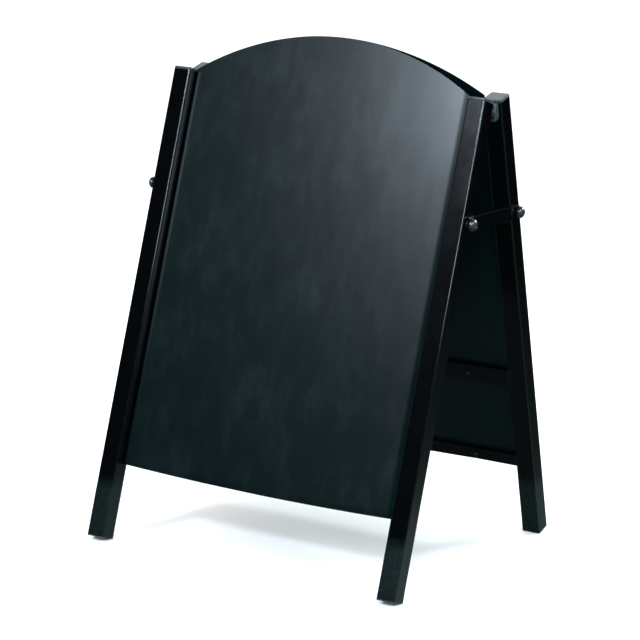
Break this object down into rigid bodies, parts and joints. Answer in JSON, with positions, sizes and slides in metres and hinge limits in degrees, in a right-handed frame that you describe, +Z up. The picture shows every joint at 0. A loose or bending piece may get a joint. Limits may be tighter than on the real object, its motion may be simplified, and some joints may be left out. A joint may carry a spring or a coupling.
{
  "type": "sandwich board",
  "caption": "Folding pavement board: arched sheet panels on hinged square-tube legs, held open by a hooked stay on each side.",
  "frame": {"origin": "on the floor, at the centre of the open board's footprint", "axes": "+Z up, -Y towards the front panel's side, +X to the right when facing the front panel"},
  "size_m": [0.6136, 0.5254, 0.8307],
  "materials": {
    "leg_paint": "gloss black enamel on steel tube",
    "panel_paint": "satin dark chalkboard paint on sheet steel",
    "rail_paint": "gloss black enamel on flat bar",
    "stay_paint": "semi-gloss black enamel on flat bar",
    "cap_plastic": "moulded, semi-gloss black",
    "foot_plastic": "moulded, worn matte black",
    "knob_plastic": "polished black",
    "washer_nylon": "moulded, matte black",
    "hinge_steel": "bright zinc plate",
    "zinc_steel": "black zinc plate"
  },
  "bodies": {
    "front_frame": {"front_leg_left": "leg_paint", "front_leg_right": "leg_paint", "front_panel": "panel_paint", "front_bottom_rail": "rail_paint", "front_mid_rail": "rail_paint", "front_top_rail": "rail_paint", "front_caps": "cap_plastic", "front_feet": "foot_plastic", "front_studs": "zinc_steel", "front_nuts": "zinc_steel", "front_hinge_leaves": "hinge_steel", "hinge_pins": "hinge_steel", "front_hinge_rivets": "zinc_steel", "front_stay_bolts": "zinc_steel", "front_washers": "washer_nylon", "front_knobs": "knob_plastic"},
    "rear_frame": {"rear_leg_left": "leg_paint", "rear_leg_right": "leg_paint", "rear_panel": "panel_paint", "rear_bottom_rail": "rail_paint", "rear_mid_rail": "rail_paint", "rear_top_rail": "rail_paint", "rear_caps": "cap_plastic", "rear_feet": "foot_plastic", "rear_studs": "zinc_steel", "rear_nuts": "zinc_steel", "rear_hinge_leaves": "hinge_steel", "rear_hinge_rivets": "zinc_steel", "rear_stay_bolts": "zinc_steel", "rear_washers": "washer_nylon", "rear_knobs": "knob_plastic"},
    "stay_left": {"stay_left": "stay_paint"},
    "stay_right": {"stay_right": "stay_paint"}
  },
  "joints": [
    {"name": "fold", "type": "hinge", "parent": "front_frame", "child": "rear_frame", "pos_m": [0, 0, 0.7437], "axis": [-1, 0, 0], "range_deg": [0, 32.8]},
    {"name": "stay_left_swing", "type": "hinge", "parent": "front_frame", "child": "stay_left", "pos_m": [-0.29405, -0.08019, 0.57133], "axis": [1, 0, 0], "range_deg": [0, 73.6]},
    {"name": "stay_right_swing", "type": "hinge", "parent": "front_frame", "child": "stay_right", "pos_m": [0.29405, -0.08019, 0.57133], "axis": [1, 0, 0], "range_deg": [0, 73.6]}
  ],
  "couplings": [
    {"joint": "stay_left_swing", "follows": "fold", "ratio": 2.2439},
    {"joint": "stay_right_swing", "follows": "fold", "ratio": 2.2439}
  ]
}
